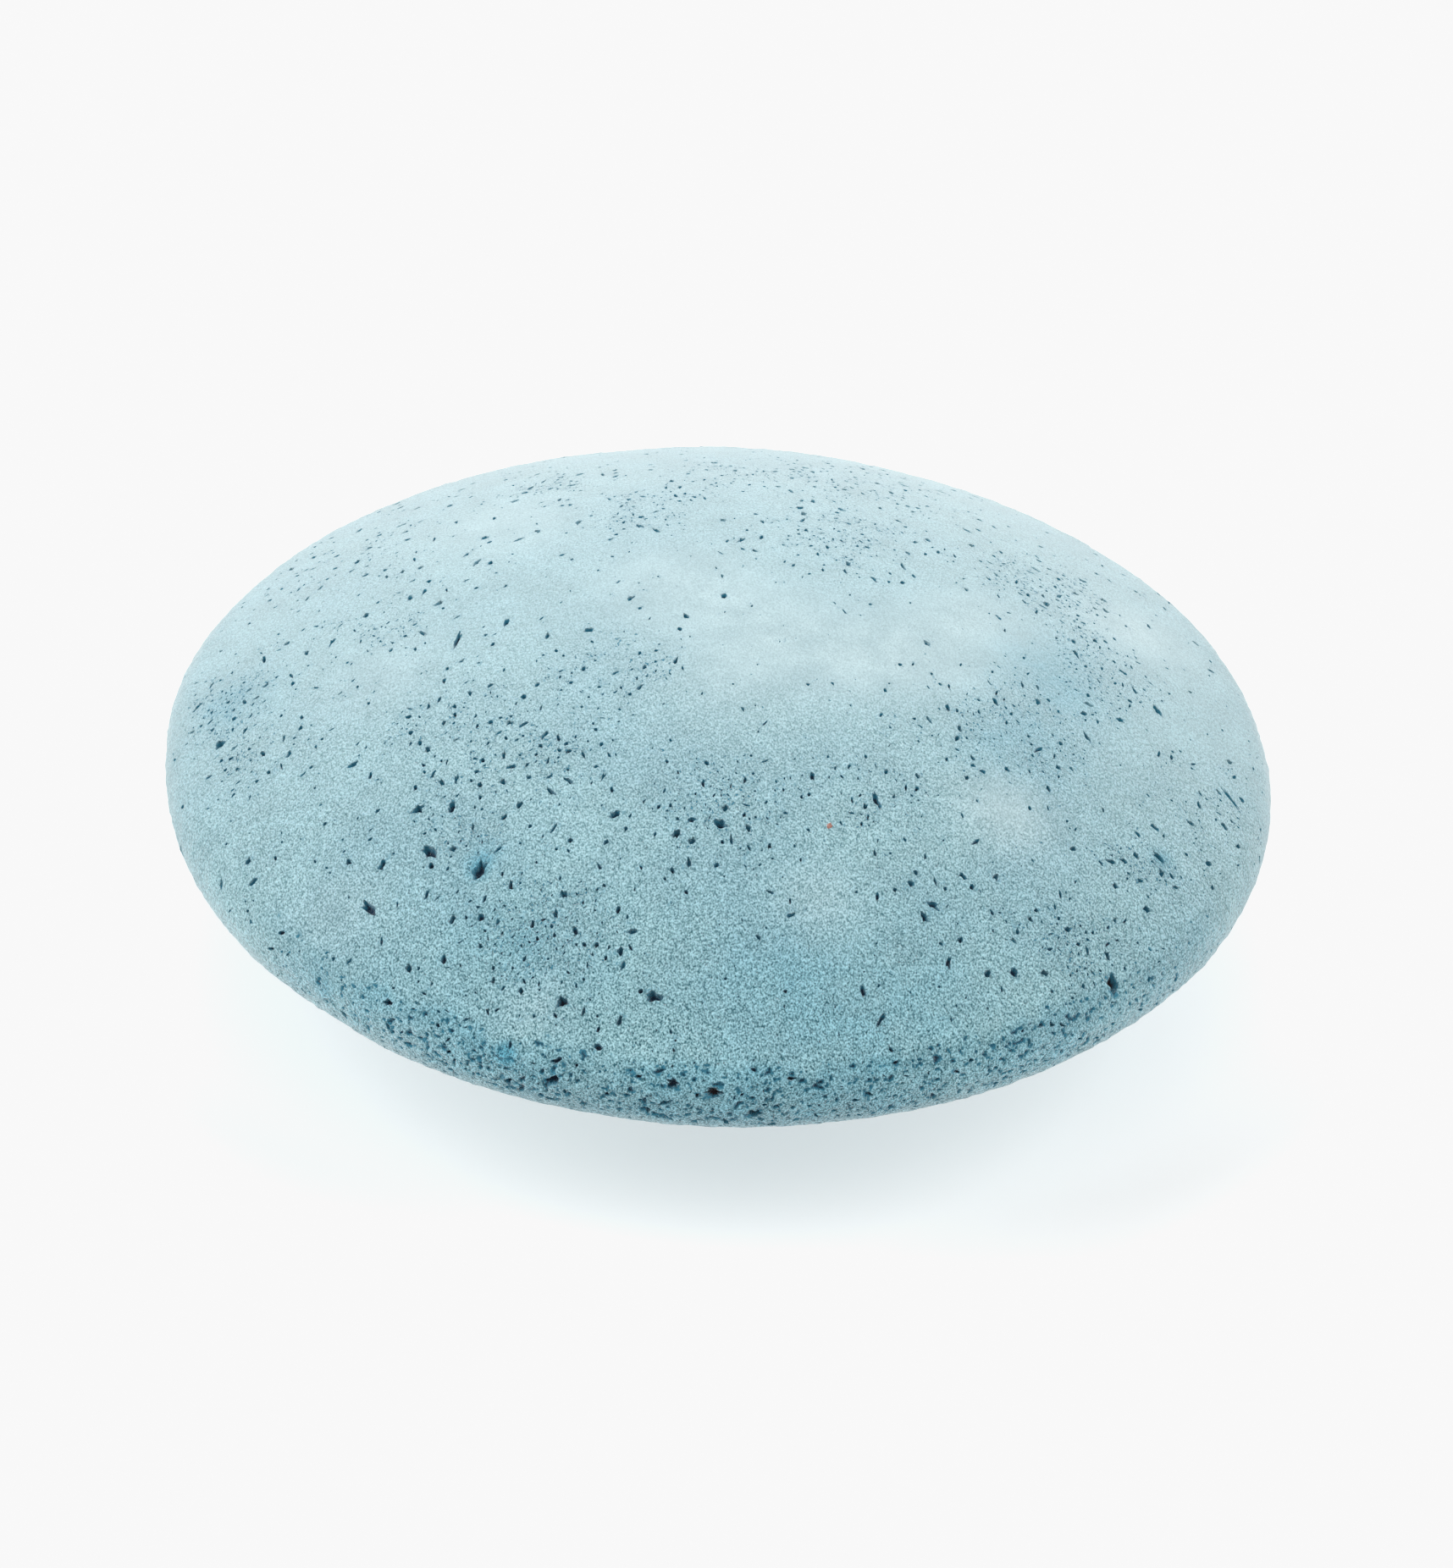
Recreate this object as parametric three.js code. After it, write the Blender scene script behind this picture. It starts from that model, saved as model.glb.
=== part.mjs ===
// A domed puck: one solid disc cast from porous mineral, lens-shaped, with a rounded rim and a small flat foot.
// Millimetres, +Z up. The origin is the middle of the foot, on the surface that the puck stands on.

import * as THREE from "three";

// Driving dimensions.
const PUCK_DIAMETER = 76.2;
const PUCK_THICKNESS = 25.4; // foot to the top of the upper crown
const WAIST_HEIGHT = 12.7; // foot to the widest circle of the rim
const RIM_ROUNDING = 3.0; // section radius of the rim
const FOOT_DIAMETER = 14.0; // the flat that the underside ends in

// How finely the round shapes are cut into facets.
const FACETS_ROUND = 96;
const CROWN_STEPS = 10;
const RIM_STEPS = 5; // from the widest circle to where a crown begins

// The colour and finish of the pale blue pigmented mineral.
const MINERAL_BLUE = 0xa5c8cf;
const MINERAL_ROUGHNESS = 0.9;

const rimCentreRadius = PUCK_DIAMETER / 2 - RIM_ROUNDING;
const footRadius = FOOT_DIAMETER / 2;

// One crown is a shallow arc, centred on the puck's axis, that runs tangent into the rim's rounding.
// It ends flatRadius away from the axis, at the given height from the plane of the widest circle.
// Returns the arc's radius, how far beyond that plane its centre lies, and the angle from the axis
// at which the rim takes over.
function crownArc(height, flatRadius) {
  // That the arc ends at the flat and also touches the rim leaves a quadratic for the centre's depth.
  const known = flatRadius ** 2 + height ** 2 + RIM_ROUNDING ** 2 - rimCentreRadius ** 2;
  const a = height ** 2 - RIM_ROUNDING ** 2;
  const b = height * (known - 2 * RIM_ROUNDING ** 2);
  const c = known ** 2 / 4 - RIM_ROUNDING ** 2 * (flatRadius ** 2 + height ** 2);
  const depth = (-b + Math.sqrt(b ** 2 - 4 * a * c)) / (2 * a);
  return {
    radius: Math.hypot(flatRadius, height + depth),
    depth,
    tangentAngle: Math.atan2(rimCentreRadius, depth),
  };
}

// Points on an arc of the section, as (radius, height above the foot). The angles turn about the arc's own
// centre from straight down, 0, through outwards to straight up, PI. The end is left to what follows.
function arcPoints(centreRadius, centreHeight, radius, from, to, steps) {
  return Array.from({ length: steps }, (_, i) => {
    const angle = THREE.MathUtils.lerp(from, to, i / steps);
    return new THREE.Vector2(
      centreRadius + radius * Math.sin(angle),
      centreHeight - radius * Math.cos(angle),
    );
  });
}

// The half section from the middle of the foot, out round the rim and up to the top of the crown.
function halfSection() {
  const top = crownArc(PUCK_THICKNESS - WAIST_HEIGHT, 0);
  const under = crownArc(WAIST_HEIGHT, footRadius);
  const footAngle = Math.asin(footRadius / under.radius);
  const outwards = Math.PI / 2;
  const topTangent = Math.PI - top.tangentAngle;
  const rimArc = (from, to) => arcPoints(rimCentreRadius, WAIST_HEIGHT, RIM_ROUNDING, from, to, RIM_STEPS);
  return [
    new THREE.Vector2(0, 0),
    ...arcPoints(0, WAIST_HEIGHT + under.depth, under.radius, footAngle, under.tangentAngle, CROWN_STEPS),
    ...rimArc(under.tangentAngle, outwards),
    ...rimArc(outwards, topTangent),
    ...arcPoints(0, WAIST_HEIGHT - top.depth, top.radius, topTangent, Math.PI, CROWN_STEPS),
    new THREE.Vector2(0, PUCK_THICKNESS),
  ];
}

// The section turned about the vertical axis. The lathe turns about Y, so the solid is stood up to +Z.
function puckBody() {
  const geometry = new THREE.LatheGeometry(halfSection(), FACETS_ROUND).rotateX(Math.PI / 2);
  const mineral = new THREE.MeshStandardMaterial({
    color: MINERAL_BLUE,
    roughness: MINERAL_ROUGHNESS,
    metalness: 0,
  });
  const mesh = new THREE.Mesh(geometry, mineral);
  mesh.name = "puck_body";
  return mesh;
}

const puck = new THREE.Group();
puck.add(puckBody());

export default puck;
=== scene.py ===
"""A domed puck cast in one piece from pale blue porous mineral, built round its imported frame.

The form, the pits and the rough rim are real geometry. Grain, clouding and stains are procedural.
Lengths inside the mesh work are millimetres, and the finished mesh is in metres, in the frame's own place.
"""

import math
import random

import bpy
import numpy as np
from mathutils import Matrix, Vector, kdtree, noise
from mathutils.geometry import delaunay_2d_cdt


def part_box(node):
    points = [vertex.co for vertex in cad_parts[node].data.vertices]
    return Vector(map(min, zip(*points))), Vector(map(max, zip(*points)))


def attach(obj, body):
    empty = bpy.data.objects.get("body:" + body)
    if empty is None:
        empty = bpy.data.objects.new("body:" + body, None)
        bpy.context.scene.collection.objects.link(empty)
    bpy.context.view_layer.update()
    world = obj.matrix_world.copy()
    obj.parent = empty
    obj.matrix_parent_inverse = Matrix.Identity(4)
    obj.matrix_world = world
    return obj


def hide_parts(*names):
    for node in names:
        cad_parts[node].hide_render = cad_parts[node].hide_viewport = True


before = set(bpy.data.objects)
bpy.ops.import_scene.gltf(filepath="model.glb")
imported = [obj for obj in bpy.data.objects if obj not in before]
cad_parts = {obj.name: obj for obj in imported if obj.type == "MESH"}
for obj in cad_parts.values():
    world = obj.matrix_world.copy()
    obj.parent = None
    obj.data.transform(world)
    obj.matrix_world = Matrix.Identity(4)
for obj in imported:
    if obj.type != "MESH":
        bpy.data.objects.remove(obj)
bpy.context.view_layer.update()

bl_info = {
    "name": "Domed Puck",
    "version": (1, 0, 0),
    "blender": (4, 5, 0),
    "location": "View3D > Sidebar > Puck",
    "description": "Builds a domed puck of pale blue porous mineral with its pits, grain and stage",
    "category": "Mesh",
}

NODE = "puck_body"
MM = 0.001
BAKE_MAP = "OFBake"


# Places on the upper side are (azimuth, distance): degrees about Z from +X, and millimetres along the
# surface from the top of the crown. The crown runs to about 38.5, the widest circle lies at about 41.5,
# and the rim's rounding ends at about 44.5.
#
# The places in the first four lists were read off by a measuring program and rounded. The lengths, widths
# and turns in LARGE_PITS start from those readings too and are adjusted, and RUBBED_DENTS follows a
# measured outline. Spreads, strengths and warmth are given.

# Where pits crowd together: azimuth, distance, spread, strength.
PIT_CLUSTERS = (
    (-178, 35, 3.2, 1.9),
    (-166, 34, 3.0, 0.8),
    (-150, 21, 4.5, 0.8),
    (-137, 9, 3.0, 1.4),
    (-130, 27, 2.6, 1.6),
    (-129, 19, 3.5, 1.0),
    (-111, 31.6, 3.3, 2.8),
    (-90, 19, 3.5, 1.3),
    (-60, 19, 3.5, 0.8),
    (-46, 34, 2.5, 1.5),
    (-43, 38, 3.0, 1.0),
    (-28, 34, 2.5, 1.2),
    (-20, 21, 4.5, 1.3),
    (-13, 37, 3.5, 0.8),
    (6, 26.5, 3.5, 1.6),
    (27, 26, 4.0, 2.0),
    (56, 15, 3.5, 1.6),
    (70, 28, 5.0, 0.9),
    (91, 24.5, 3.0, 1.2),
    (111, 17, 3.0, 1.6),
    (120, 26.5, 2.5, 1.8),
    (150, 31, 5.0, 0.5),
    (174, 24, 3.5, 0.9),
)

# Close, pale skin with hardly a pit: azimuth, distance, spread, whiteness.
SMOOTH_PATCHES = (
    (132, 5, 5.0, 0.6),
    (-23, 3, 5.0, 0.6),
    (-22, 9, 4.5, 0.6),
    (-85, 7, 4.5, 0.35),
    (-5, 14, 4.5, 0.7),
    (13, 18, 3.8, 0.7),
    (20, 31.5, 3.8, 0.8),
    (-38, 25, 3.2, 0.7),
    (136, 22, 5.0, 0.4),
    (-171, 24, 4.0, 0.3),
    (-75, 27, 3.0, 0.3),
    (-136, 36, 3.5, 0.25),
    (-122, 42, 2.0, 0.4),
    (-109, 36.5, 2.6, 0.25),
)

# Where more pigment shows: azimuth, distance, spread, strength.
PIGMENT_STAINS = (
    (0, 23, 4.2, 0.45),
    (-24, 22, 4.0, 0.3),
    (-115, 32, 3.6, 0.3),
    (-79, 34, 5.0, 0.3),
    (-66, 35.5, 4.5, 0.25),
    (-178, 35, 3.0, 0.4),
    (-125, 27.5, 1.2, 0.6),
    (-124, 28.4, 0.7, 0.9),
    (-110, 40, 0.7, 1.2),
    (-132, 41, 0.9, 0.8),
    (-26, 34.6, 0.8, 0.8),
)

# The largest pits, one by one: azimuth, distance, length, width, turn, warmth.
# The turn is counted from +X. Warmth is how much of the reddish body shows in the bottom, dark there with
# painted shade.
LARGE_PITS = (
    (-171, 36, 1.1, 0.7, 50, 0),
    (-177, 18.5, 2.0, 0.4, 75, 0),
    (-170, 9.5, 0.7, 0.5, 10, 0),
    (-154, 28, 0.8, 0.5, 30, 0),
    (-139, 27, 1.0, 0.7, 20, 0),
    (-135, 25.4, 0.8, 0.6, 60, 0),
    (-132, 29, 1.2, 0.8, 130, 0),
    (-136, 31.5, 0.9, 0.5, 60, 0),
    (-133, 34.5, 1.5, 0.6, 130, 0),
    (-124, 28.4, 1.9, 0.7, 65, 0),
    (-109, 21, 0.8, 0.6, 20, 0),
    (-97, 21.6, 0.9, 0.7, 40, 0),
    (-89, 20.6, 1.0, 0.8, 150, 0),
    (-106, 35.6, 1.1, 0.8, 15, 0.5),
    (-96, 34.2, 1.0, 0.8, 160, 0),
    (-72, 34, 0.9, 0.4, 110, 0),
    (-61, 29.6, 0.9, 0.5, 120, 0),
    (-59, 29, 0.9, 0.5, 140, 0),
    (-58, 20.2, 1.6, 0.4, 115, 0),
    (-54, 35.4, 0.7, 0.5, 100, 0),
    (-26, 34.4, 1.1, 0.6, 140, 0),
    (-9, 37, 2.2, 0.3, 135, 0),
    (1, 30.8, 1.2, 0.5, 125, 0),
    (-44, 39, 1.4, 0.8, 120, 1),
    (-93, 40, 0.9, 0.6, 0, 0),
    (-89, 40.5, 1.1, 0.6, 0, 1),
    (-85, 42, 1.0, 0.6, 0, 1),
    (-105, 41, 0.9, 0.7, 30, 0),
    (-124, 39.5, 0.6, 0.5, 0, 0),
)

# One grain of iron-stained sand in the skin: azimuth, distance, length, width, turn.
RUST_GRAIN = (-69, 21.3, 0.65, 0.4, 80)

# Dents rubbed into the form: azimuth, distance, spread, depth. A negative depth stands proud.
RUBBED_DENTS = (
    (-133, 41, 4.5, 0.28),
    (-120, 41, 3.0, 0.10),
    (-90, 41, 6.0, -0.12),
    (-50, 41, 5.0, 0.08),
    (-30, 41, 3.5, -0.08),
    (10, 41, 6.0, 0.07),
    (170, 41, 7.0, -0.13),
    (130, 40, 7.0, 0.10),
    (85, 39, 8.0, -0.13),
    (45, 39, 7.0, 0.09),
)

UNDERSIDE_TINT = (0.0, 0.0, 0.5, 0.4)  # bloom, stain, crowding of specks, smoothness

# Widths and heights in the skin, in millimetres.
PIT_FAN_DISTANCE = 50.0  # pits lean towards a point this far behind the puck
NARROWEST_PIT, WIDEST_PIT = 0.13, 0.5  # of the pits that are scattered by chance
DEEPEST_PIT = 0.5
CROWD_WIDTH, SMALL_CROWD_WIDTH = 3.0, 1.1  # the loose groups that pits lie in
UNDER_CROWD_WIDTH = 4
PORE_WIDTH, PORE_HEIGHT = 0.4, 0.3  # in the rim's porous band
SWELL_WIDTH, SMALL_SWELL_WIDTH = 14, 5  # the rubbed form's unevenness
RUB_WIDTH, RUB_HEIGHT = 1.3, 0.012
FOOT_MARGIN = 0.8  # kept clear of pits, each side of the foot's edge
FOOT_BLEND = 3.0  # round the foot, where the skin comes back to the true form
DENT_FADE = 6  # how far under the rim the dents reach
LUMP_WIDTH, SMALL_LUMP_WIDTH = 0.85, 0.4  # between the rim's pits

# The band's pores darken towards their bottoms: pigment and painted shade.
PORE_SHADE = 0.72  # how dark a pore of the band is, next to a pit

TRIES = 40  # random places tried for each pit that is wanted
DENSEST = 1.7  # where the pits crowd as much as this, every random place is kept
RING_POINTS = 460  # round the line where the upper and the lower map meet


def linear(hex_colour):
    """The linear RGB of an sRGB hex value."""
    parts = [(hex_colour >> shift & 255) / 255 for shift in (16, 8, 0)]
    return tuple(c / 12.92 if c <= 0.04045 else ((c + 0.055) / 1.055) ** 2.4 for c in parts)


def waist_and_foot():
    """The height of the frame's widest circle and the radius of its flat foot, both in metres."""
    corners = np.array([v.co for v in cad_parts[NODE].data.vertices])
    out = np.hypot(corners[:, 0], corners[:, 1])
    on_floor = corners[:, 2] < corners[:, 2].min() + 0.01 * MM
    return float(corners[out.argmax(), 2]), float(out[on_floor].max())


LOWEST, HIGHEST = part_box(NODE)
WAIST_HEIGHT, FOOT_RADIUS = waist_and_foot()


class PuckFormSettings(bpy.types.PropertyGroup):
    """The form of the casting."""

    diameter: bpy.props.FloatProperty(
        name="Diameter", description="Widest size across", default=HIGHEST.x - LOWEST.x, unit="LENGTH")
    thickness: bpy.props.FloatProperty(
        name="Thickness", description="Foot to the top of the crown", default=HIGHEST.z - LOWEST.z,
        unit="LENGTH")
    waist_height: bpy.props.FloatProperty(
        name="Waist height", description="Foot to the widest circle", default=WAIST_HEIGHT, unit="LENGTH")
    rim_rounding: bpy.props.FloatProperty(
        name="Rim rounding", description="Section radius of the rim", default=0.003, unit="LENGTH")
    foot_radius: bpy.props.FloatProperty(
        name="Foot radius", description="Radius of the flat under the puck", default=FOOT_RADIUS,
        unit="LENGTH")
    unevenness: bpy.props.FloatProperty(
        name="Unevenness", description="How far the rubbed skin wanders from the true form",
        default=0.00006, unit="LENGTH")
    rim_roughness: bpy.props.FloatProperty(
        name="Rim roughness", description="Height of the lumps between the rim's pits",
        default=0.00009, unit="LENGTH")
    crown_spacing: bpy.props.FloatProperty(
        name="Crown spacing", description="Mesh spacing on the crown", default=0.00068, unit="LENGTH")
    rim_spacing: bpy.props.FloatProperty(
        name="Rim spacing", description="Mesh spacing on the rim", default=0.00045, unit="LENGTH")
    band_spacing: bpy.props.FloatProperty(
        name="Band spacing", description="Mesh spacing in the porous band of the rim", default=0.00014,
        unit="LENGTH")
    under_spacing: bpy.props.FloatProperty(
        name="Underside spacing", description="Mesh spacing under the puck", default=0.0010, unit="LENGTH")
    seed: bpy.props.IntProperty(name="Seed", description="Chooses the scatter of pits", default=7)


class PitSettings(bpy.types.PropertyGroup):
    """The pits that gas bubbles and lost grains leave in the skin."""

    on_crown: bpy.props.IntProperty(name="On the crown", description="Pits on the crown", default=2400)
    on_rim: bpy.props.IntProperty(name="On the rim", description="Pits on the rim", default=260)
    on_underside: bpy.props.IntProperty(
        name="On the underside", description="Pits on the underside", default=850)
    usual_width: bpy.props.FloatProperty(
        name="Usual width", description="Middle width of the pits", default=0.00023, unit="LENGTH")
    width_spread: bpy.props.FloatProperty(
        name="Width spread", description="How much the widths differ, as a share on a log scale",
        default=0.5, subtype="FACTOR")
    band_depth: bpy.props.FloatProperty(
        name="Band depth", description="Depth of the pores in the rim's porous band", default=0.00025,
        unit="LENGTH")


class MineralSettings(bpy.types.PropertyGroup):
    """The colours and the grain of the mineral."""

    body_colour: bpy.props.FloatVectorProperty(
        name="Body", description="Pale blue of the pigmented mineral", subtype="COLOR",
        default=linear(0x94C2CB))
    cloud_colour: bpy.props.FloatVectorProperty(
        name="Clouds", description="The bluer clouds in it", subtype="COLOR", default=linear(0x86B7C4))
    # Paler skin on the smooth patches, and painted light that pales the skin from the front to the back half.
    wash_and_painted_light_colour: bpy.props.FloatVectorProperty(
        name="Wash", description="Paler skin where it is rubbed smooth", subtype="COLOR",
        default=linear(0xAFCCD3))
    bloom_colour: bpy.props.FloatVectorProperty(
        name="Bloom", description="Pale lime bloom on the close skin", subtype="COLOR",
        default=linear(0xBDD6DB))
    stain_colour: bpy.props.FloatVectorProperty(
        name="Stain", description="Where more pigment shows", subtype="COLOR", default=linear(0x5AA5BB))
    pit_wall_colour: bpy.props.FloatVectorProperty(
        name="Pit wall", description="Pigment on a pit's wall", subtype="COLOR", default=linear(0x2F859F))
    # Pigment settled in the pits' bottoms, darkened further by the painted shade of the hollow.
    pit_floor_pigment_and_shade_colour: bpy.props.FloatVectorProperty(
        name="Pit floor", description="Pigment settled in a pit's bottom", subtype="COLOR",
        default=linear(0x06304A))
    # The reddish body in the bottoms of a few deep pits, dark with painted shade.
    warm_floor_and_shade_colour: bpy.props.FloatVectorProperty(
        name="Warm pit floor", description="Dark red in a few deep pits", subtype="COLOR",
        default=linear(0x240A10))
    rust_colour: bpy.props.FloatVectorProperty(
        name="Rust grain", description="The iron-stained sand grain", subtype="COLOR",
        default=linear(0xB4603A))
    grain_width: bpy.props.FloatProperty(
        name="Grain width", description="Width of the mineral's grains", default=0.00018, unit="LENGTH")
    grain_relief: bpy.props.FloatProperty(
        name="Grain relief", description="How far the grains stand out", default=0.00012, unit="LENGTH")
    speck_width: bpy.props.FloatProperty(
        name="Speck width", description="Width of the pinholes", default=0.00022, unit="LENGTH")


class StageSettings(bpy.types.PropertyGroup):
    """The floor, light and camera."""

    floor_colour: bpy.props.FloatVectorProperty(
        name="Floor", description="Pale floor", subtype="COLOR", default=linear(0xC5C5C5))
    floor_glow: bpy.props.FloatProperty(
        name="Floor glow", description="Light that comes through the floor, as on a light table",
        default=0.515)
    surround: bpy.props.FloatProperty(
        name="Surround", description="Strength of the white surround as a light", default=0.08,
        subtype="FACTOR")
    softbox_strength: bpy.props.FloatProperty(
        name="Softboxes", description="Strength of all four softboxes together", default=1.0)
    paper_white: bpy.props.FloatProperty(
        name="Paper white", description="Where light is cut off, so the floor is one even tone", default=0.94,
        subtype="FACTOR")
    camera_elevation: bpy.props.FloatProperty(
        name="Camera elevation", description="Angle above the floor", subtype="ANGLE",
        default=math.radians(35.4))
    camera_roll: bpy.props.FloatProperty(
        name="Camera roll", description="How far the picture leans", subtype="ANGLE",
        default=math.radians(2.7))
    camera_distance: bpy.props.FloatProperty(
        name="Camera distance", description="From the puck's middle", default=0.5, unit="LENGTH")
    camera_lens: bpy.props.FloatProperty(
        name="Lens", description="Focal length in millimetres", default=166.3, unit="CAMERA")


class Section:
    """The puck's half section, walked from the top of the crown over the rim to the middle of the foot."""

    def __init__(self, form):
        self.waist = form.waist_height / MM
        self.rim_rounding = form.rim_rounding / MM
        self.rim_centre = form.diameter / 2 / MM - self.rim_rounding
        self.top = self.crown(form.thickness / MM - self.waist, 0)
        foot = form.foot_radius / MM
        self.under = self.crown(self.waist, foot)
        self.foot_angle = math.asin(foot / self.under[1])
        self.crown_end = self.top[1] * self.top[2]
        self.waist_at = self.crown_end + self.rim_rounding * (math.pi / 2 - self.top[2])
        self.rim_end = self.waist_at + self.rim_rounding * (math.pi / 2 - self.under[2])
        self.foot_at = self.rim_end + self.under[1] * (self.under[2] - self.foot_angle)
        self.end = self.foot_at + foot

    def crown(self, height, flat):
        """A crown's arc, tangent to the rim: its centre's depth past the waist, radius and end angle."""
        rim, out = self.rim_rounding, self.rim_centre
        known = flat**2 + height**2 + rim**2 - out**2
        a = height**2 - rim**2
        b = height * (known - 2 * rim**2)
        c = known**2 / 4 - rim**2 * (flat**2 + height**2)
        depth = (-b + math.sqrt(b * b - 4 * a * c)) / (2 * a)
        return depth, math.hypot(flat, height + depth), math.atan2(out, depth)

    def at(self, walked):
        """For distances walked, the points' radius and height and the skin's outward normal (out, up)."""
        walked = np.asarray(walked, float)
        stretches = [walked <= self.crown_end, walked <= self.rim_end, walked <= self.foot_at]
        angle = np.select(
            stretches,
            [walked / self.top[1],
             self.top[2] + (walked - self.crown_end) / self.rim_rounding,
             math.pi - self.under[2] + (walked - self.rim_end) / self.under[1]],
            math.pi)
        out, up = np.sin(angle), np.cos(angle)
        radius = np.select(
            stretches,
            [self.top[1] * out, self.rim_centre + self.rim_rounding * out, self.under[1] * out],
            self.end - walked)
        height = np.select(
            stretches,
            [self.waist - self.top[0] + self.top[1] * up,
             self.waist + self.rim_rounding * up,
             self.waist + self.under[0] + self.under[1] * up],
            0.0)
        return radius, height, out, up


class Side:
    """One side of the skin as a flat round map: a point keeps its azimuth and its distance along the skin."""

    def __init__(self, section, upper):
        self.section = section
        self.upper = upper
        self.reach = section.rim_end if upper else section.end - section.rim_end

    def walked(self, distance):
        return distance if self.upper else self.section.end - distance

    def stretch(self, distance):
        """How much wider the map is round its circles than the skin is."""
        radius = float(self.section.at(self.walked(distance))[0])
        return distance / max(radius, 0.1)


def falloff(azimuth, distance, spots):
    """The sum of round soft spots at a place on the upper side."""
    total = 0.0
    x, y = distance * math.cos(azimuth), distance * math.sin(azimuth)
    for spot_azimuth, spot_distance, spread, strength in spots:
        a = math.radians(spot_azimuth)
        gap = (x - spot_distance * math.cos(a)) ** 2 + (y - spot_distance * math.sin(a)) ** 2
        if gap < 6 * spread * spread:
            total += strength * math.exp(-gap / (spread * spread))
    return total


def ramp(value, start, end):
    """0 before the start, 1 past the end, and straight between them. The end may come first."""
    return min(1.0, max(0.0, (value - start) / (end - start)))


def band_share(section, azimuth, walked):
    """How porous the rim is: 1 in the band along its front, 0 where its skin is closed."""
    if not section.crown_end - 1.2 < walked < section.rim_end:
        return 0.0
    from_front = (math.degrees(azimuth) + 90 + 180) % 360 - 180
    along = ramp(from_front, -52, -30) * ramp(from_front, 66, 40)
    if along == 0:
        return 0.0
    ragged = 0.9 * noise.noise(Vector((azimuth * 9, 0, 3))) + 0.6 * noise.noise(Vector((azimuth * 30, 0, 7)))
    upper = ramp(walked, section.crown_end - 0.1 + ragged, section.crown_end + 0.8 + ragged)
    lower = ramp(walked, section.rim_end - 0.5, section.rim_end - 1.9)
    patchy = 0.85 + 0.6 * noise.noise(Vector((azimuth * 14, walked / 2.5, 11)))
    closing = ramp(walked, section.rim_end, section.rim_end - 0.6)
    return min(1.0, along * upper * (0.3 + 0.7 * lower) * closing * patchy)


def pore(point, share):
    """How deep a point lies in the pores of the porous band, 0 to 1. The pores run into each other."""
    if share <= 0:
        return 0.0
    p = Vector((point.x / PORE_WIDTH, point.y / PORE_WIDTH, point.z / PORE_HEIGHT))
    lie = noise.noise(p) + 0.55 * noise.noise(p * 2.1 + Vector((5, 0, 0)))
    return ramp(lie, 0.64 - 0.4 * share, 1.0 - 0.4 * share)


class Pit:
    """A hollow or a grain in the skin, with an irregular outline on a side's map."""

    LARGE = 0.5  # a pit longer than this has a shoulder between its wall and its bottom
    SHOULDER, BOTTOM, SMALL_BOTTOM = 0.8, 0.42, 0.62  # shares of the outline
    SHOULDER_DEPTH, SHOULDER_SHADE = 0.6, 0.4  # shares of the bottom's
    LIP_SHADE = 0.07
    CORNER_SPACING = 0.17
    WOBBLE = 0.42  # how far a corner strays in or out, as a share

    def __init__(self, side, chance, azimuth, distance, length, width, turn, shade, depth, warmth=0.0,
                 rust=0.0):
        self.middle = Vector((distance * math.cos(azimuth), distance * math.sin(azimuth)))
        self.shade, self.depth, self.warmth, self.rust = shade, depth, warmth, rust
        stretch = side.stretch(distance)
        outward = self.middle.normalized()
        along = Vector((-outward.y, outward.x))
        self.large = length > self.LARGE
        corners = max(5, min(15, round(math.pi * (length + width) / 2 / self.CORNER_SPACING)))
        start = chance.random() * math.tau
        self.spokes = []
        for i in range(corners):
            a = start + math.tau * (i + 0.4 * (chance.random() - 0.5)) / corners
            swell = 1 + self.WOBBLE * (2 * chance.random() - 1)
            spoke = Vector((length / 2 * math.cos(a), width / 2 * math.sin(a))) * swell
            spoke.rotate(Matrix.Rotation(turn, 2))
            # The map is wider than the skin round its circles, so a spoke is widened that way too.
            self.spokes.append(spoke + along * spoke.dot(along) * (stretch - 1))
        # Beads along the pit keep other pits and the points of the skin off it.
        beads = max(1, round(length / width))
        step = Vector((math.cos(turn), math.sin(turn)))
        step += along * step.dot(along) * (stretch - 1)
        self.beads = [self.middle + step * (length - width) * (i / (beads - 1) - 0.5 if beads > 1 else 0)
                      for i in range(beads)]
        self.bead_radius = width / 2 * (1 + self.WOBBLE) * stretch + (0.1 if self.large else 0.05)


class PitBed:
    """The pits placed so far, kept apart from each other."""

    CELL = 1.4

    def __init__(self):
        self.pits = []
        self.cells = {}

    def near(self, place):
        i, j = int(place.x // self.CELL), int(place.y // self.CELL)
        for di in (-1, 0, 1):
            for dj in (-1, 0, 1):
                yield from self.cells.get((i + di, j + dj), ())

    def add(self, pit):
        """Adds a pit unless it would run into another. True if it was added."""
        for bead in pit.beads:
            for other, radius in self.near(bead):
                if (bead - other).length < radius + pit.bead_radius:
                    return False
        self.pits.append(pit)
        for bead in pit.beads:
            cell = (int(bead.x // self.CELL), int(bead.y // self.CELL))
            self.cells.setdefault(cell, []).append((bead, pit.bead_radius))
        return True


def random_pit(side, chance, azimuth, distance, usual_width, spread, on_rim):
    """A pit of random size, drawn out the way its neighbours are."""
    width = min(WIDEST_PIT, max(NARROWEST_PIT, usual_width * math.exp(chance.gauss(0, spread))))
    ratio = 1 + min(2.5, abs(chance.gauss(0, 1.2)))
    length = width * ratio**0.6
    width = width / ratio**0.4
    if on_rim:
        turn = azimuth + math.pi / 2 + chance.gauss(0, 0.6)
    else:
        x, y = distance * math.cos(azimuth), distance * math.sin(azimuth)
        turn = math.atan2(PIT_FAN_DISTANCE - y, -x) + chance.gauss(0, 0.5)
    shade = 0.45 + 0.55 * chance.random()
    depth = min(DEEPEST_PIT, width * (0.7 + 0.6 * chance.random()))
    return Pit(side, chance, azimuth, distance, length, width, turn, shade, depth)


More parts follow.
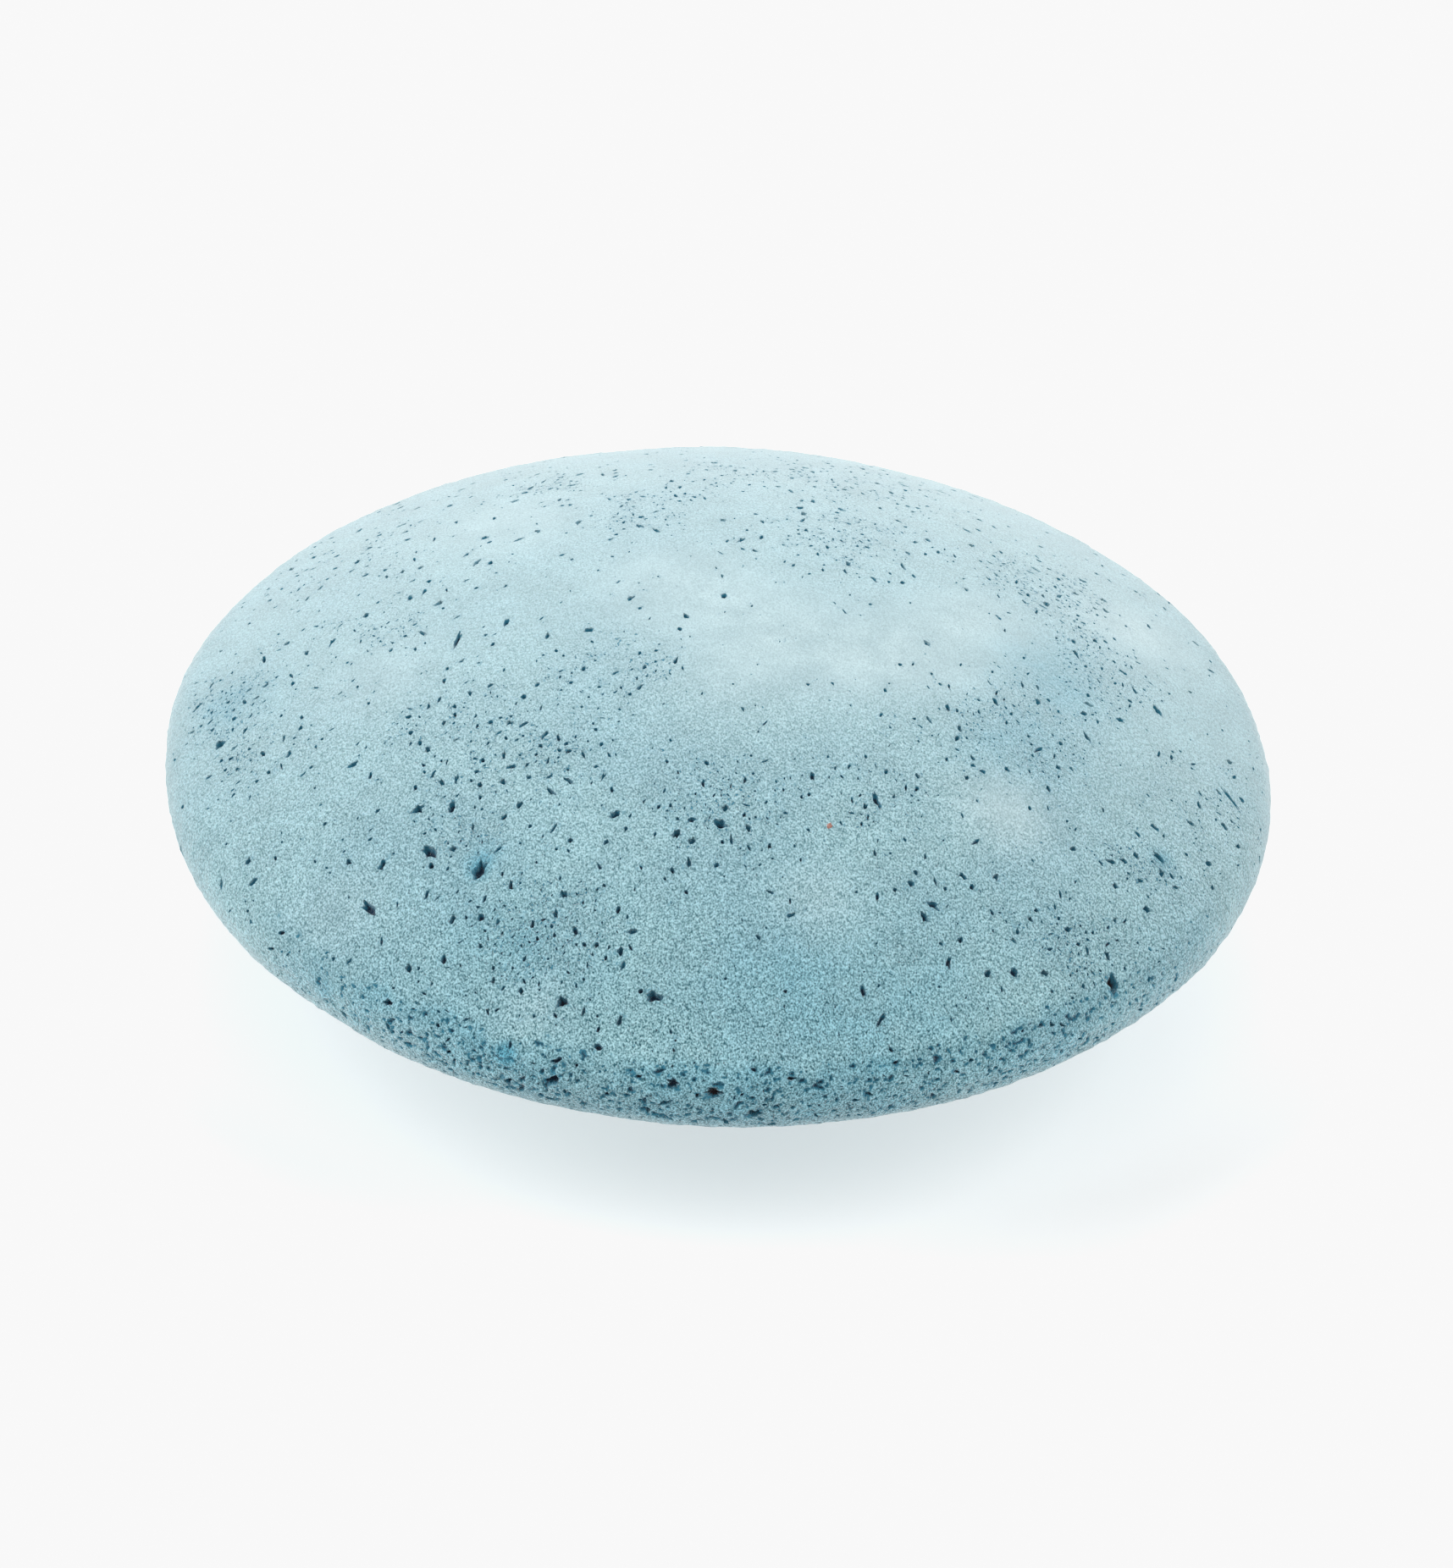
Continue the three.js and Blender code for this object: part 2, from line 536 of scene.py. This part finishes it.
def crowding(azimuth, distance):
    """How close together the pits lie at a place on the crown, about 0 to 2."""
    x, y = distance * math.cos(azimuth), distance * math.sin(azimuth)
    patchy = 0.45 + 1.1 * noise.noise(Vector((x / CROWD_WIDTH, y / CROWD_WIDTH, 4.0)))
    patchy += 0.5 * noise.noise(Vector((x / SMALL_CROWD_WIDTH, y / SMALL_CROWD_WIDTH, 8.0)))
    crowd = 0.17 * max(0.04, patchy)
    crowd += 1.4 * falloff(azimuth, distance, PIT_CLUSTERS) * max(0.3, patchy + 0.25)
    return crowd * max(0.03, 1 - 1.1 * falloff(azimuth, distance, SMOOTH_PATCHES))


def scatter(bed, wanted, chance, random_distance, share, make):
    """Adds the wanted number of pits to a bed, at random places that are kept by their share."""
    for _ in range(wanted * TRIES):
        if wanted == 0:
            return
        azimuth, distance = chance.uniform(-math.pi, math.pi), random_distance()
        if chance.random() < share(azimuth, distance):
            wanted -= bed.add(make(azimuth, distance))


def lay_upper_pits(side, chance, pits):
    """The pits of the crown and the rim: the largest as listed, the rest by chance where they crowd."""
    bed = PitBed()
    azimuth, distance, length, width, turn = RUST_GRAIN
    bed.add(Pit(side, chance, math.radians(azimuth), distance, length, width, math.radians(turn),
                shade=0.0, depth=-0.05, rust=0.8))
    for azimuth, distance, length, width, turn, warmth in LARGE_PITS:
        bed.add(Pit(side, chance, math.radians(azimuth), distance, length, width, math.radians(turn),
                    shade=0.9, depth=min(0.75, 0.8 * width), warmth=warmth))
    crown_end = side.section.crown_end
    usual = pits.usual_width / MM
    scatter(bed, pits.on_crown, chance,
            lambda: crown_end * math.sqrt(chance.random()),
            lambda a, d: crowding(a, d) / DENSEST,
            lambda a, d: random_pit(side, chance, a, d, usual, pits.width_spread, False))
    scatter(bed, pits.on_rim, chance,
            lambda: chance.uniform(crown_end - 0.6, side.reach - 0.5),
            lambda a, d: 0.25 + 0.75 * band_share(side.section, a, d),
            lambda a, d: random_pit(side, chance, a, d, usual, 0.8 * pits.width_spread, True))
    return bed


def lay_under_pits(side, chance, pits):
    """The underside's pits, scattered in loose clouds and kept off the flat foot's edge."""
    bed = PitBed()
    foot = side.section.end - side.section.foot_at
    usual = pits.usual_width / MM * 1.2

    def share(azimuth, distance):
        if abs(distance - foot) < FOOT_MARGIN or distance < FOOT_MARGIN:
            return 0.0
        x, y = distance * math.cos(azimuth), distance * math.sin(azimuth)
        return 0.3 + 1.1 * noise.noise(Vector((x / UNDER_CROWD_WIDTH, y / UNDER_CROWD_WIDTH, 9.0)))

    scatter(bed, pits.on_underside, chance,
            lambda: (side.reach - 0.6) * math.sqrt(chance.random()), share,
            lambda a, d: random_pit(side, chance, a, d, usual, pits.width_spread, False))
    return bed


def wanted_spacing(side, form, azimuth, distance):
    """How far apart the skin's points are at a place, in metres."""
    section = side.section
    if not side.upper:
        return form.rim_spacing if distance > side.reach - 1.2 else form.under_spacing
    if band_share(section, azimuth, distance) > 0.05:
        return form.band_spacing
    return form.rim_spacing if distance > section.crown_end - 1.5 else form.crown_spacing


def free_points(side, chance, bed, form):
    """Points over a map between its pits, as close together as the skin there needs."""
    tree = kdtree.KDTree(sum(len(p.beads) for p in bed.pits))
    radii = []
    for pit in bed.pits:
        for bead in pit.beads:
            tree.insert((bead.x, bead.y, 0), len(radii))
            radii.append(pit.bead_radius)
    tree.balance()
    widest = max(radii)
    points = [Vector((0.0, 0.0))]
    finest = form.band_spacing / MM
    levels = (form.band_spacing, form.rim_spacing) if side.upper else (form.rim_spacing,)
    for level in (*levels, form.crown_spacing if side.upper else form.under_spacing):
        spacing = level / MM
        keep_off = 0.12 * spacing
        distance = side.reach - max(0.3 * spacing, finest)
        while distance > spacing and (level != form.band_spacing or distance > side.section.crown_end - 2):
            radius = float(side.section.at(side.walked(distance))[0])
            count = max(6, round(math.tau * radius / spacing))
            start = chance.random()
            for i in range(count):
                a = math.tau * (i + start + 0.4 * (chance.random() - 0.5)) / count
                d = distance - 0.3 * spacing * chance.random()
                if wanted_spacing(side, form, a, d) != level:
                    continue
                place = Vector((d * math.cos(a), d * math.sin(a), 0))
                if all(gap > radii[k] + keep_off for _, k, gap in tree.find_range(place, widest + 0.2)):
                    points.append(place.to_2d())
            distance -= spacing * 0.87
    return points


class Skin:
    """The whole skin as it is built: map points with what each one carries, and the triangles."""

    def __init__(self):
        self.places = []  # azimuth, distance walked over the section
        self.sunk = []
        self.carried = []  # pit, warmth, rust
        self.map_points = []  # x, y, whether it is on the upper map
        self.triangles = []
        self.lips = []  # pairs of points


def knit_side(skin, side, bed, points, ring):
    """Triangulates one side's map round its pits' outlines, and adds it to the skin."""
    flat = (0.0, (0.0, 0.0, 0.0))
    lip = (0.0, (Pit.LIP_SHADE, 0.0, 0.0))
    verts, edges, facts = list(points), [], [flat] * len(points)

    def loop(places, sunk, carried):
        base = len(verts)
        verts.extend(places)
        facts.extend([(sunk, carried)] * len(places))
        edges.extend((base + i, base + (i + 1) % len(places)) for i in range(len(places)))
        return range(base, base + len(places))

    lip_loops = []
    for pit in bed.pits:
        lip_loops.append(loop([pit.middle + spoke for spoke in pit.spokes], *(flat if pit.rust else lip)))
        if pit.large:
            loop([pit.middle + s * pit.SHOULDER for s in pit.spokes], pit.depth * pit.SHOULDER_DEPTH,
                 (pit.shade * pit.SHOULDER_SHADE, pit.warmth, pit.rust))
        bottom = pit.BOTTOM if pit.large else pit.SMALL_BOTTOM
        loop([pit.middle + s * bottom for s in pit.spokes], pit.depth, (pit.shade, pit.warmth, pit.rust))
    ring_ids = loop([Vector((side.reach * math.cos(a), side.reach * math.sin(a))) for a in ring], *flat)

    out, _, faces, origins, _, _ = delaunay_2d_cdt(verts, edges, [], 0, 1e-6, True)
    if len(out) != len(verts):
        raise RuntimeError(f"the map's outlines cross: {len(verts)} points became {len(out)}")
    place_of = {}
    for old in (o[0] for o in origins):
        place_of[old] = len(skin.places)
        x, y = verts[old]
        sunk, carried = facts[old]
        skin.places.append((math.atan2(y, x), side.walked(math.hypot(x, y))))
        skin.map_points.append((x, y, side.upper))
        skin.sunk.append(sunk)
        skin.carried.append(carried)
    base = len(skin.places) - len(origins)
    step = 1 if side.upper else -1
    skin.triangles.extend(tuple(base + i for i in f[::step]) for f in faces)
    for ids in lip_loops:
        ids = [place_of[i] for i in ids]
        skin.lips.extend((ids[i - 1], ids[i]) for i in range(len(ids)))
    return [place_of[i] for i in ring_ids]


def stand_off(form, section, azimuth, walked, point):
    """How far the rubbed skin stands off the true form at a point, in millimetres."""
    if walked > section.foot_at - 0.01:
        return 0.0
    swell = noise.noise(point / SWELL_WIDTH)
    swell += 0.5 * noise.noise(point / SMALL_SWELL_WIDTH + Vector((9, 0, 0)))
    off = form.unevenness / MM * swell
    off += RUB_HEIGHT * noise.noise(point / RUB_WIDTH)
    rim = ramp(walked, section.crown_end - 1.5, section.crown_end + 1.0)
    rim *= ramp(walked, section.rim_end + 1.0, section.rim_end - 1.0)
    lumps = noise.noise(point / LUMP_WIDTH) + 0.6 * noise.noise(point / SMALL_LUMP_WIDTH)
    off += form.rim_roughness / MM * rim * lumps
    # The dents go on under the rim, and die out towards the foot.
    dented = ramp(walked, section.rim_end + DENT_FADE, section.rim_end)
    off -= falloff(azimuth, min(walked, section.rim_end), RUBBED_DENTS) * dented
    return off * min(1.0, (section.foot_at - walked) / FOOT_BLEND)


def tint_of(section, azimuth, walked):
    """The lime bloom, the pigment stain, the crowding of specks and how smooth the skin is at a place, its
    rise towards the back being painted light.
    """
    under = ramp(walked, section.rim_end, section.rim_end + 3.0)
    place = min(walked, section.rim_end)
    bloom = falloff(azimuth, place, SMOOTH_PATCHES)
    # Paler again on the lower rim, below the widest circle.
    bloom += 0.4 * ramp(place, section.waist_at + 0.8, section.waist_at + 2.0)
    # Smoothness rises from the front to the middle and stays high over the back half. That rise is painted
    # light: it draws the skin paler, with fainter grain, away from the front.
    smooth = min(1.0, 0.85 * ramp(place * math.sin(azimuth), -40, 0) + 0.5 * bloom)
    stain = falloff(azimuth, place, PIGMENT_STAINS) + 0.45 * band_share(section, azimuth, place)
    specks = min(1.0, crowding(azimuth, place))
    upper = (bloom, stain, specks, smooth)
    return tuple(value + (below - value) * under for value, below in zip(upper, UNDERSIDE_TINT))


def skin_mesh(form, pits):
    """The skin's mesh, with what its material reads as point attributes."""
    section = Section(form)
    chance = random.Random(form.seed)
    skin = Skin()
    ring = [math.tau * i / RING_POINTS for i in range(RING_POINTS)]
    upper, lower = Side(section, True), Side(section, False)
    upper_bed = lay_upper_pits(upper, chance, pits)
    upper_ring = knit_side(skin, upper, upper_bed, free_points(upper, chance, upper_bed, form), ring)
    lower_bed = lay_under_pits(lower, chance, pits)
    lower_ring = knit_side(skin, lower, lower_bed, free_points(lower, chance, lower_bed, form), ring)
    joined = dict(zip(lower_ring, upper_ring))

    azimuths, walked = np.array(skin.places).T
    radius, height, out, up = section.at(walked)
    true = np.column_stack([radius * np.cos(azimuths), radius * np.sin(azimuths), height])
    normal = np.column_stack([out * np.cos(azimuths), out * np.sin(azimuths), up])
    spots = [(a, w, Vector(p)) for a, w, p in zip(azimuths, walked, true)]
    off = np.array([stand_off(form, section, *spot) for spot in spots])
    pores = np.array([pore(p, band_share(section, a, w)) for a, w, p in spots])
    off -= np.array(skin.sunk) + pores * pits.band_depth / MM
    points = (true + normal * off[:, None]) * MM
    points[:, 2] = np.maximum(points[:, 2], 0) + LOWEST.z

    faces = np.array([[joined.get(i, i) for i in f] for f in skin.triangles])
    kept = np.ones(len(points), bool)
    kept[list(joined)] = False
    number = np.cumsum(kept) - 1
    mesh = bpy.data.meshes.new("puck_skin")
    mesh.from_pydata(points[kept].tolist(), [], number[faces].tolist())
    mesh.update()

    pit, warmth, rust = np.array(skin.carried).T
    bloom, stain, specks, smooth = np.array([tint_of(section, a, w) for a, w, _ in spots]).T
    # The pit value darkens pits and pores towards their bottoms, as pigment and painted shade.
    carried = {"pit": np.maximum(pit, pores * PORE_SHADE), "warmth": warmth, "rust": rust, "bloom": bloom,
               "stain": stain, "specks": specks, "smooth": smooth}
    for name, values in carried.items():
        layer = mesh.attributes.new(name, "FLOAT", "POINT")
        layer.data.foreach_set("value", np.asarray(values, np.float32)[kept])
    map_to_sheet(mesh, np.array(skin.triangles), skin.map_points, upper.reach)
    mark_lips(mesh, {tuple(sorted(number[[joined.get(a, a), joined.get(b, b)]].tolist()))
                     for a, b in skin.lips})
    return mesh


def map_to_sheet(mesh, faces, map_points, reach):
    """The two round maps as the two circles of a square sheet, corner to corner."""
    share = 1 / (2 + math.sqrt(2))
    layer = mesh.uv_layers.new(name=BAKE_MAP)
    sheet = []
    for x, y, is_upper in map_points:
        middle = share if is_upper else 1 - share
        sheet.append((middle + x / reach * share * 0.98, middle + y / reach * share * 0.98))
    sheet = np.array(sheet, np.float32)
    layer.data.foreach_set("uv", sheet[faces.ravel()].ravel())


def mark_lips(mesh, lips):
    """Keeps the lips of the pits crisp while the rest of the skin is shaded smooth."""
    pairs = np.empty(len(mesh.edges) * 2, np.int64)
    mesh.edges.foreach_get("vertices", pairs)
    pairs = np.sort(pairs.reshape(-1, 2), axis=1)
    crisp = np.array([tuple(p) in lips for p in pairs.tolist()])
    layer = mesh.attributes.new("sharp_edge", "BOOLEAN", "EDGE")
    layer.data.foreach_set("value", crisp)
    mesh.polygons.foreach_set("use_smooth", np.ones(len(mesh.polygons), bool))
    mesh.update()


def add_node(tree, kind, inputs=None, **settings):
    """Adds a node. Settings are its properties, and inputs maps sockets to values or to feeding sockets."""
    made = tree.nodes.new(kind)
    for name, value in settings.items():
        setattr(made, name, value)
    for socket, value in (inputs or {}).items():
        if isinstance(value, bpy.types.NodeSocket):
            tree.links.new(value, made.inputs[socket])
        else:
            made.inputs[socket].default_value = value
    return made


# Sockets of the Mix node when it mixes colours.
MIX_FACTOR, MIX_FIRST, MIX_SECOND, MIX_RESULT = 0, 6, 7, 2


def per_metre(size):
    """A pattern's scale for features of a size in metres."""
    return 1.0 / size


def fresh_material(name):
    """An empty node material and its tree."""
    material = bpy.data.materials.new(name)
    material.use_nodes = True
    material.node_tree.nodes.clear()
    return material, material.node_tree


def pigmented_cast_mineral(mineral):
    """Cement-like mineral, pigmented in the mass, cast and rubbed down by hand.

    Dry mineral has no gloss. It scatters light evenly and looks dusty at a low angle, and low light
    catches each of its sand grains.
    """
    material, tree = fresh_material("pigmented_cast_mineral")
    place = add_node(tree, "ShaderNodeTexCoord").outputs["Object"]
    # Rubbing to and fro draws the grain out a little along Y.
    rubbed = add_node(tree, "ShaderNodeVectorMath", {0: place, 1: (1.0, 0.6, 1.0)},
                      operation="MULTIPLY").outputs["Vector"]
    carried = {name: add_node(tree, "ShaderNodeAttribute", attribute_name=name).outputs["Fac"]
               for name in ("pit", "warmth", "rust", "bloom", "stain", "specks", "smooth")}

    # What each pattern is laid on, how wide its features are, and how much finer detail it has.
    # Pigment settles in clouds about 12 mm across, broken up by mottling of about 3 mm.
    # The real fines are a tenth of a grain's width, and are drawn coarse enough to show.
    sizes = {
        "clouds": (place, 12 * MM, 3.0),
        "mottle": (place, 3.2 * MM, 3.0),
        "grain": (rubbed, mineral.grain_width, 2.0),
        "fines": (rubbed, mineral.grain_width * 0.6, 0.0),
        "pinholes": (rubbed, mineral.speck_width, 1.0),
    }
    patterns = {
        name: add_node(tree, "ShaderNodeTexNoise", {
            "Vector": vector, "Scale": per_metre(size), "Detail": detail, "Roughness": 0.6}).outputs["Fac"]
        for name, (vector, size, detail) in sizes.items()}

    # Pinholes too small to be in the mesh crowd where the pits do, and a pit's edge is crumbled by the grain.
    pinholes = add_node(tree, "ShaderNodeMath", {0: carried["specks"], 1: 0.11, 2: patterns["pinholes"]},
                        operation="MULTIPLY_ADD").outputs["Value"]
    crumble = add_node(tree, "ShaderNodeMapRange", {
        "Value": patterns["grain"], "From Min": 0.3, "From Max": 0.7, "To Min": -0.09,
        "To Max": 0.09}).outputs["Result"]
    crumbled = add_node(tree, "ShaderNodeMath", {0: carried["pit"], 1: crumble},
                        operation="ADD").outputs["Value"]

    # What each mask or measure is read from, where it starts and ends, and its values there.
    spans = {
        "cloudy": (patterns["clouds"], 0.38, 0.64, 0.0, 1.0),
        "broken": (patterns["mottle"], 0.3, 0.62, 0.35, 1.0),
        "mottled": (patterns["mottle"], 0.3, 0.7, 0.93, 1.06),
        "grained": (patterns["grain"], 0.3, 0.7, -0.27, 0.27),
        "fine": (patterns["fines"], 0.3, 0.7, -0.34, 0.34),
        # Smoothness, which rises towards the back as painted light, fades the grain and pales the skin.
        "coarse": (carried["smooth"], 0.0, 1.0, 1.45, 0.25),
        "washed_and_painted_light": (carried["smooth"], 0.1, 1.0, 0.0, 0.8),
        "speck": (pinholes, 0.745, 0.785, 0.0, 0.9),
        "wall": (crumbled, 0.07, 0.2, 0.0, 1.0),
        # Deeper in a pit the bottom mask darkens it: settled pigment and painted shade.
        "bottom": (crumbled, 0.3, 0.78, 0.0, 1.0),
        "roughness": (patterns["grain"], 0.3, 0.7, 0.95, 0.75),
    }
    masks = {
        name: add_node(tree, "ShaderNodeMapRange", {
            "Value": value, "From Min": low, "From Max": high, "To Min": to_low,
            "To Max": to_high}).outputs["Result"]
        for name, (value, low, high, to_low, to_high) in spans.items()}

    # Lime bloom and pigment stains are thin and broken at their edges.
    bloom = add_node(tree, "ShaderNodeMath", {0: carried["bloom"], 1: masks["broken"]},
                     operation="MULTIPLY", use_clamp=True).outputs["Value"]
    stain = add_node(tree, "ShaderNodeMath", {0: carried["stain"], 1: masks["broken"]},
                     operation="MULTIPLY", use_clamp=True).outputs["Value"]
    body = (*mineral.body_colour, 1)
    for cover, colour in ((masks["cloudy"], mineral.cloud_colour), (masks["washed_and_painted_light"], mineral.wash_and_painted_light_colour),
                          (bloom, mineral.bloom_colour), (stain, mineral.stain_colour)):
        body = add_node(tree, "ShaderNodeMix", {MIX_FACTOR: cover, MIX_FIRST: body, MIX_SECOND: (*colour, 1)},
                        data_type="RGBA").outputs[MIX_RESULT]

    # Grains that stand out are dusty, so they lose some of their blue as they get lighter.
    grained = add_node(tree, "ShaderNodeMath", {0: masks["grained"], 1: masks["fine"]},
                       operation="ADD").outputs["Value"]
    grained = add_node(tree, "ShaderNodeMath", {0: grained, 1: masks["coarse"]},
                       operation="MULTIPLY").outputs["Value"]
    dusty = add_node(tree, "ShaderNodeVectorMath", {0: (1.35, 1.05, 1.0), "Scale": grained},
                     operation="SCALE").outputs["Vector"]
    dusty = add_node(tree, "ShaderNodeVectorMath", {0: dusty, 1: (1.0, 1.0, 1.0)},
                     operation="ADD").outputs["Vector"]
    body = add_node(tree, "ShaderNodeVectorMath", {0: body, 1: dusty}, operation="MULTIPLY").outputs["Vector"]
    body = add_node(tree, "ShaderNodeVectorMath", {0: body, "Scale": masks["mottled"]},
                    operation="SCALE").outputs["Vector"]

    # Pits: pigment on the walls, and the bottoms darker still: settled pigment and painted shade.
    floor = add_node(tree, "ShaderNodeMix", {
        MIX_FACTOR: carried["warmth"], MIX_FIRST: (*mineral.pit_floor_pigment_and_shade_colour, 1),
        MIX_SECOND: (*mineral.warm_floor_and_shade_colour, 1)}, data_type="RGBA").outputs[MIX_RESULT]
    wall = (*mineral.pit_wall_colour, 1)
    for cover, colour in ((masks["speck"], wall), (masks["wall"], wall), (masks["bottom"], floor),
                          (carried["rust"], (*mineral.rust_colour, 1))):
        body = add_node(tree, "ShaderNodeMix", {MIX_FACTOR: cover, MIX_FIRST: body, MIX_SECOND: colour},
                        data_type="RGBA").outputs[MIX_RESULT]

    # Rubbed grains stand a few hundredths of a millimetre out of the finer cement between them.
    relief = add_node(tree, "ShaderNodeMath", {0: patterns["fines"], 1: 0.6, 2: patterns["grain"]},
                      operation="MULTIPLY_ADD").outputs["Value"]
    relief = add_node(tree, "ShaderNodeMath", {0: relief, 1: masks["speck"]},
                      operation="SUBTRACT").outputs["Value"]
    relief = add_node(tree, "ShaderNodeMath", {0: relief, 1: masks["coarse"]},
                      operation="MULTIPLY").outputs["Value"]
    bump = add_node(tree, "ShaderNodeBump", {
        "Strength": 1.0, "Distance": mineral.grain_relief, "Height": relief}).outputs["Normal"]
    shader = add_node(tree, "ShaderNodeBsdfPrincipled", {
        "Base Color": body, "Roughness": masks["roughness"], "IOR": 1.5, "Specular IOR Level": 0.4,
        "Sheen Weight": 0.65, "Sheen Roughness": 0.5, "Sheen Tint": (0.97, 1.0, 1.0, 1.0), "Normal": bump})
    add_node(tree, "ShaderNodeOutputMaterial", {"Surface": shader.outputs["BSDF"]})
    return material


def matt_floor(stage):
    """Matt white acrylic sheet, lit a little from below, which thins the shadow on it."""
    material, tree = fresh_material("matt_floor")
    shader = add_node(tree, "ShaderNodeBsdfPrincipled", {
        "Base Color": (*stage.floor_colour, 1), "Roughness": 0.9, "Specular IOR Level": 0.0,
        "Emission Color": (1.0, 1.0, 1.0, 1.0), "Emission Strength": stage.floor_glow})
    add_node(tree, "ShaderNodeOutputMaterial", {"Surface": shader.outputs["BSDF"]})
    return material


CAMERA_RIGHT, CAMERA_DOWN = 0.5 * MM, 1.13 * MM  # how far the view is moved off the puck's middle


def add_camera(scene, stage):
    """The camera, a little above the puck, with the puck just left of and above the picture's middle."""
    right = Vector((1, 0, 0))
    back = Vector((0, -math.cos(stage.camera_elevation), math.sin(stage.camera_elevation)))
    up = back.cross(right)
    turned = Matrix.Rotation(stage.camera_roll, 3, back)
    right, up = turned @ right, turned @ up
    camera = bpy.data.objects.new("camera", bpy.data.cameras.new("camera"))
    camera.data.lens = stage.camera_lens
    middle = Vector((0, 0, LOWEST.z + WAIST_HEIGHT))
    place = middle + back * stage.camera_distance + right * CAMERA_RIGHT - up * CAMERA_DOWN
    camera.matrix_world = Matrix.Translation(place) @ Matrix((right, up, back)).transposed().to_4x4()
    scene.collection.objects.link(camera)
    scene.camera = camera


# The softboxes: azimuth and elevation of the middle, width as an angle, and strength.
SOFTBOXES = {
    "softbox_back": (90, 24, 42, 1.55),
    "softbox_left": (180, 36, 40, 1.95),
    "softbox_right": (0, 40, 40, 1.45),
    "softbox_front": (-90, 62, 40, 0.6),
}


def add_light(scene, stage):
    """Four large softboxes in a white surround. The low one at the back brings the grain out."""
    for name, (azimuth, elevation, width, strength) in SOFTBOXES.items():
        # A sun as wide as a softbox looks gives the same soft light all over.
        lamp = bpy.data.lights.new(name, "SUN")
        lamp.energy = strength * stage.softbox_strength
        lamp.angle = math.radians(width)
        light = bpy.data.objects.new(name, lamp)
        light.rotation_euler = (0, math.radians(90 - elevation), math.radians(azimuth))
        scene.collection.objects.link(light)
    world = bpy.data.worlds.new("surround")
    world.use_nodes = True
    tree = world.node_tree
    tree.nodes.clear()
    # What the camera sees beyond the floor's edge is as white as the floor, and lights nothing.
    seen = add_node(tree, "ShaderNodeLightPath").outputs["Is Camera Ray"]
    strength = add_node(tree, "ShaderNodeMapRange", {
        "Value": seen, "To Min": stage.surround, "To Max": stage.paper_white}).outputs["Result"]
    white = add_node(tree, "ShaderNodeBackground", {"Color": (1.0, 1.0, 1.0, 1.0), "Strength": strength})
    add_node(tree, "ShaderNodeOutputWorld", {"Surface": white.outputs["Background"]})
    scene.world = world


COMBINED_CURVE = 3  # after red, green and blue


def level_the_white(scene, white):
    """Plain colours up to the paper white, and nothing brighter than that."""
    view = scene.view_settings
    view.view_transform = "Standard"
    view.use_curve_mapping = True
    curve = view.curve_mapping.curves[COMBINED_CURVE]
    curve.points[1].location = (1.0, white)
    curve.points.new(white, white)
    for point in curve.points:
        point.handle_type = "VECTOR"
    view.curve_mapping.update()


FLOOR_SIZE = 6.0  # past the edges of every view, in metres
FLOOR_GAP = 0.05 * MM  # between the floor and the foot, so that they don't flicker


class PUCK_OT_set_stage(bpy.types.Operator):
    """Sets the stage: a pale floor, soft light and the camera"""

    bl_idname = "puck.set_stage"
    bl_label = "Set the stage"

    def execute(self, context):
        scene = context.scene
        stage = scene.puck_stage
        mesh = bpy.data.meshes.new("floor")
        half = FLOOR_SIZE / 2
        mesh.from_pydata([(-half, -half, 0), (half, -half, 0), (half, half, 0), (-half, half, 0)], [],
                         [(0, 1, 2, 3)])
        floor = bpy.data.objects.new("floor", mesh)
        floor.location.z = LOWEST.z - FLOOR_GAP
        mesh.materials.append(matt_floor(stage))
        scene.collection.objects.link(floor)
        add_camera(scene, stage)
        add_light(scene, stage)
        level_the_white(scene, stage.paper_white)
        return {"FINISHED"}


class PUCK_OT_cast_body(bpy.types.Operator):
    """Casts the puck: its skin with pits, lips and rough rim, in pigmented mineral"""

    bl_idname = "puck.cast_body"
    bl_label = "Cast the puck"

    def execute(self, context):
        scene = context.scene
        mesh = skin_mesh(scene.puck_form, scene.puck_pits)
        puck = bpy.data.objects.new("porous_puck", mesh)
        scene.collection.objects.link(puck)
        mesh.materials.append(pigmented_cast_mineral(scene.puck_mineral))
        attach(puck, "root")
        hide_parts(NODE)
        return {"FINISHED"}


class PUCK_PT_sidebar(bpy.types.Panel):
    """The puck's settings and steps"""

    bl_idname = "PUCK_PT_sidebar"
    bl_label = "Domed puck"
    bl_space_type = "VIEW_3D"
    bl_region_type = "UI"
    bl_category = "Puck"

    def draw(self, context):
        layout = self.layout
        for operator in (PUCK_OT_set_stage, PUCK_OT_cast_body):
            layout.operator(operator.bl_idname)
        for name in SETTINGS:
            settings = getattr(context.scene, name)
            box = layout.box()
            for prop in settings.__annotations__:
                box.prop(settings, prop)


SETTINGS = {
    "puck_form": PuckFormSettings,
    "puck_pits": PitSettings,
    "puck_mineral": MineralSettings,
    "puck_stage": StageSettings,
}
CLASSES = (*SETTINGS.values(), PUCK_OT_set_stage, PUCK_OT_cast_body, PUCK_PT_sidebar)


def register():
    for cls in CLASSES:
        bpy.utils.register_class(cls)
    for name, cls in SETTINGS.items():
        setattr(bpy.types.Scene, name, bpy.props.PointerProperty(type=cls))


def unregister():
    for name in SETTINGS:
        delattr(bpy.types.Scene, name)
    for cls in reversed(CLASSES):
        bpy.utils.unregister_class(cls)


def main():
    register()
    bpy.ops.puck.set_stage()
    bpy.ops.puck.cast_body()


if __name__ == "__main__":
    main()
